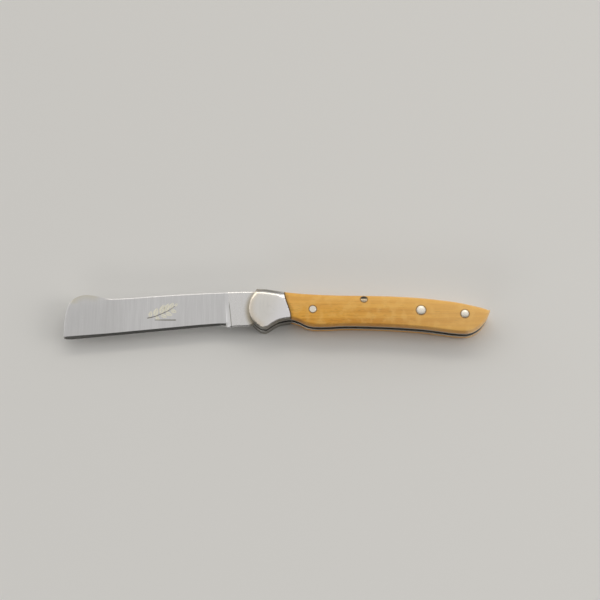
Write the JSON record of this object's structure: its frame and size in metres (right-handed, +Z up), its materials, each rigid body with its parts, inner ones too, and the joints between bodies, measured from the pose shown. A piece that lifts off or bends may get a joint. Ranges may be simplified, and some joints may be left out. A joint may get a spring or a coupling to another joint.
{
  "type": "grafting knife",
  "caption": "Folding grafting knife with a straight-edged blade, a bark lifter on its spine, metal bolsters and wooden handle scales.",
  "frame": {"origin": "on the pivot's axis, at the outer face of the knife's right side, which it lies on", "axes": "+X along the handle from the pivot to the butt, +Y from the belly to the spine, +Z up through the handle's thickness to its left side"},
  "size_m": [0.1867, 0.0222, 0.0128],
  "materials": {
    "blade_steel": "satin steel, ground across the blade",
    "spring_steel": "satin spring steel",
    "liner_steel": "satin sheet steel",
    "bolster_metal": "brushed nickel silver with softly polished edges",
    "boxwood": "oiled close-grained yellow wood",
    "pin_steel": "polished steel pins",
    "washer_brass": "plain brass sheet"
  },
  "bodies": {
    "handle": {"backspring": "spring_steel", "left_liner": "liner_steel", "right_liner": "liner_steel", "left_bolster": "bolster_metal", "right_bolster": "bolster_metal", "left_scale": "boxwood", "right_scale": "boxwood", "left_pivot_washer": "washer_brass", "right_pivot_washer": "washer_brass", "left_front_scale_rivet": "pin_steel", "right_front_scale_rivet": "pin_steel", "left_bolster_rivet_front": "bolster_metal", "left_bolster_rivet_rear": "bolster_metal", "right_bolster_rivet_front": "bolster_metal", "right_bolster_rivet_rear": "bolster_metal", "pivot_pin": "bolster_metal", "spring_pin": "pin_steel", "middle_rivet": "pin_steel", "rear_rivet": "pin_steel"},
    "blade": {"blade": "blade_steel"}
  },
  "joints": [
    {"name": "blade_fold", "type": "hinge", "parent": "handle", "child": "blade", "pos_m": [0, 0, 0.006], "axis": [0, 0, 1], "range_deg": [0, 169]}
  ]
}
